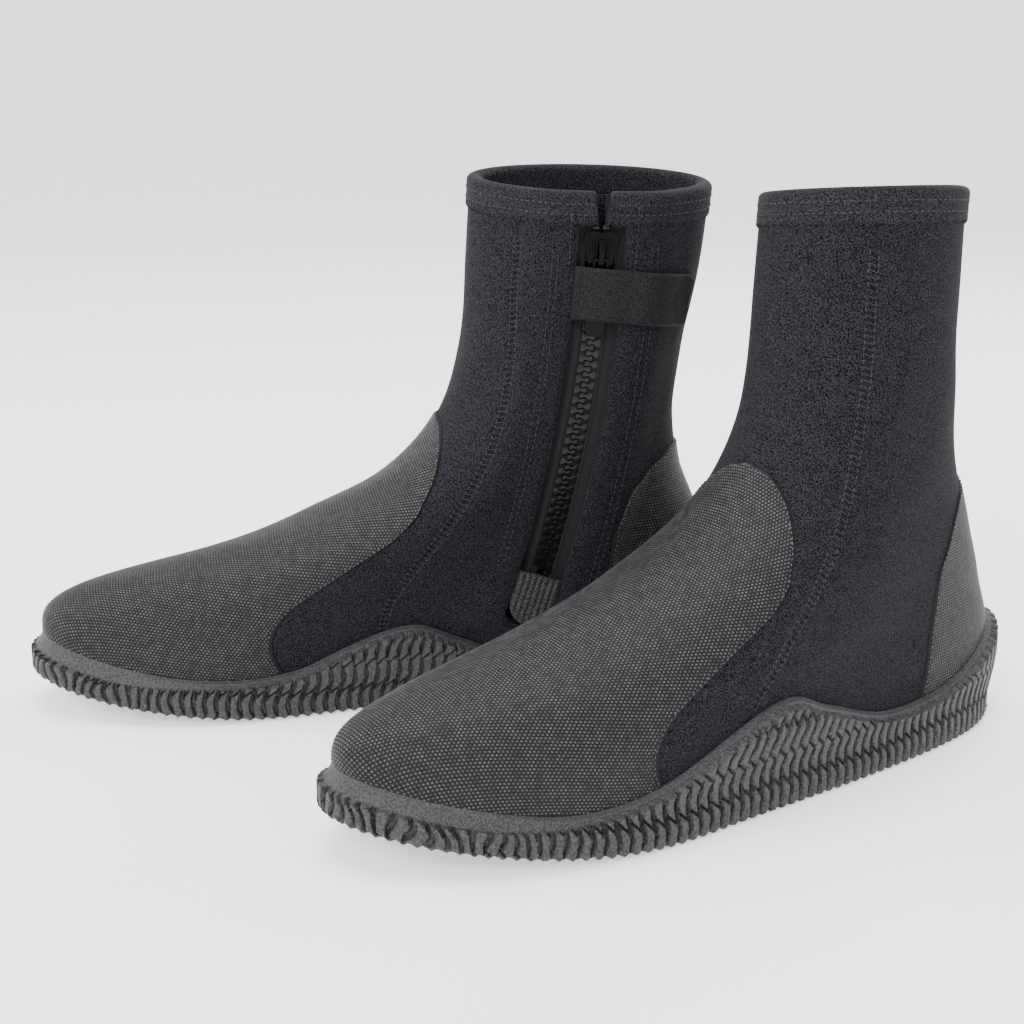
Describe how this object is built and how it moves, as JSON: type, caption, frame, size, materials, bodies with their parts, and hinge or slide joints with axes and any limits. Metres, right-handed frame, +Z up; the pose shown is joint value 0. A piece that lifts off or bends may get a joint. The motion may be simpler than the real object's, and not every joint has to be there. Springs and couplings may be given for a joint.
{
  "type": "dive boots",
  "caption": "Pair of ankle-high neoprene dive boots with side zips, zip straps, toe and heel overlays and rubber soles.",
  "frame": {"origin": "centre of the pair's bounding box, on the ground under the outsoles", "axes": "+Y toward the left boot's heel, +X toward the left boot's lateral side, +Z up; the left boot stands along Y and the right boot's toe is turned 26 degrees outward"},
  "size_m": [0.2908, 0.3628, 0.2314],
  "materials": {
    "neoprene": "matte knitted nylon over foam rubber",
    "overlay": "satin printed mesh",
    "outsole_rubber": "matte moulded",
    "sidewall_rubber": "matte scaly relief",
    "insole_foam": "matte lining over foam",
    "cuff_binding": "smooth matte binding",
    "zip_tape": "twill",
    "zip_plastic": "moulded acetal, semi-gloss",
    "webbing": "woven webbing",
    "hook_and_loop": "hook and loop pile"
  },
  "bodies": {
    "left_boot": {"left_outsole": "outsole_rubber", "left_sidewall": "sidewall_rubber", "left_insole": "insole_foam", "left_vamp": "neoprene", "left_medial_panel": "neoprene", "left_rear_panel": "neoprene", "left_toe_overlay": "overlay", "left_heel_overlay": "overlay", "left_rear_cuff": "cuff_binding", "left_rear_tape": "zip_tape", "left_rear_chain": "zip_plastic", "left_rear_top_stop": "zip_plastic", "left_bottom_stop": "zip_plastic", "left_end_patch": "zip_tape", "left_gusset": "neoprene", "left_loop_patch": "hook_and_loop"},
    "left_shaft_front": {"left_shin_panel": "neoprene", "left_medial_shaft_panel": "neoprene", "left_front_cuff": "cuff_binding", "left_front_tape": "zip_tape", "left_front_chain": "zip_plastic", "left_front_top_stop": "zip_plastic", "left_strap_anchor": "webbing"},
    "left_zip_slider": {"left_slider": "zip_plastic"},
    "left_zip_pull": {"left_pull_tab": "zip_plastic"},
    "left_strap_hinge": {"left_strap_bar": "webbing", "left_strap": "webbing"},
    "left_strap_tab": {"left_strap_tab": "webbing", "left_hook_patch": "hook_and_loop"},
    "right_boot": {"right_outsole": "outsole_rubber", "right_sidewall": "sidewall_rubber", "right_insole": "insole_foam", "right_vamp": "neoprene", "right_medial_panel": "neoprene", "right_rear_panel": "neoprene", "right_toe_overlay": "overlay", "right_heel_overlay": "overlay", "right_rear_cuff": "cuff_binding", "right_rear_tape": "zip_tape", "right_rear_chain": "zip_plastic", "right_rear_top_stop": "zip_plastic", "right_bottom_stop": "zip_plastic", "right_end_patch": "zip_tape", "right_gusset": "neoprene", "right_loop_patch": "hook_and_loop"},
    "right_shaft_front": {"right_shin_panel": "neoprene", "right_medial_shaft_panel": "neoprene", "right_front_cuff": "cuff_binding", "right_front_tape": "zip_tape", "right_front_chain": "zip_plastic", "right_front_top_stop": "zip_plastic", "right_strap_anchor": "webbing"},
    "right_zip_slider": {"right_slider": "zip_plastic"},
    "right_zip_pull": {"right_pull_tab": "zip_plastic"},
    "right_strap_hinge": {"right_strap_bar": "webbing", "right_strap": "webbing"},
    "right_strap_tab": {"right_strap_tab": "webbing", "right_hook_patch": "hook_and_loop"}
  },
  "joints": [
    {"name": "left_zip", "type": "hinge", "parent": "left_boot", "child": "left_zip_slider", "pos_m": [0.05655, -0.49011, 0.23045], "axis": [-1, 0, 0], "range_deg": [0, 12], "deforming": ["left_front_chain", "left_rear_chain", "left_front_tape"]},
    {"name": "left_shaft_open", "type": "hinge", "parent": "left_boot", "child": "left_shaft_front", "pos_m": [0.12955, 0.06797, 0.13], "axis": [0, 0, 1], "range_deg": [0, 20]},
    {"name": "left_strap_lift", "type": "hinge", "parent": "left_shaft_front", "child": "left_strap_hinge", "pos_m": [0.05455, 0.09737, 0.1708], "axis": [0, 0.0824, 0.9966], "range_deg": [0, 25]},
    {"name": "left_strap_peel", "type": "hinge", "parent": "left_strap_hinge", "child": "left_strap_tab", "pos_m": [0.05285, 0.11585, 0.16774], "axis": [0, 0.0074, 1], "range_deg": [0, 120]},
    {"name": "left_pull_swing", "type": "hinge", "parent": "left_zip_slider", "child": "left_zip_pull", "pos_m": [0.05675, 0.10884, 0.19501], "axis": [0, 0.9983, -0.0591], "range_deg": [0, 12]},
    {"name": "right_zip", "type": "hinge", "parent": "right_boot", "child": "right_zip_slider", "pos_m": [-0.25241, -0.50733, 0.23045], "axis": [-0.8988, 0.4384, 0], "range_deg": [0, 12], "deforming": ["right_front_chain", "right_rear_chain", "right_front_tape"]},
    {"name": "right_shaft_open", "type": "hinge", "parent": "right_boot", "child": "right_shaft_front", "pos_m": [-0.07338, 0.02627, 0.13], "axis": [0, 0, -1], "range_deg": [0, 20]},
    {"name": "right_strap_lift", "type": "hinge", "parent": "right_shaft_front", "child": "right_strap_hinge", "pos_m": [0.00692, 0.01981, 0.1708], "axis": [-0.0361, -0.0741, -0.9966], "range_deg": [0, 25]},
    {"name": "right_strap_peel", "type": "hinge", "parent": "right_strap_hinge", "child": "right_strap_tab", "pos_m": [0.02163, 0.05167, 0.16688], "axis": [-0.0401, -0.16, -0.9863], "range_deg": [0, 120]},
    {"name": "right_pull_swing", "type": "hinge", "parent": "right_zip_slider", "child": "right_zip_pull", "pos_m": [0.00997, 0.03109, 0.19501], "axis": [-0.4376, -0.8972, 0.0591], "range_deg": [0, 45]},
    {"name": "right_boot_lift", "type": "slide", "parent": "left_boot", "child": "right_boot", "axis": [0, 0, 1], "range_m": [0, 0.3]}
  ],
  "couplings": [
    {"joint": "left_shaft_open", "follows": "left_zip", "ratio": 1.6667},
    {"joint": "left_strap_lift", "follows": "left_zip", "ratio": 2.0833},
    {"joint": "left_pull_swing", "follows": "left_zip", "ratio": 0.99999},
    {"joint": "right_shaft_open", "follows": "right_zip", "ratio": 1.6667},
    {"joint": "right_strap_lift", "follows": "right_zip", "ratio": 2.0833},
    {"joint": "right_pull_swing", "follows": "right_zip", "ratio": 3.75}
  ]
}
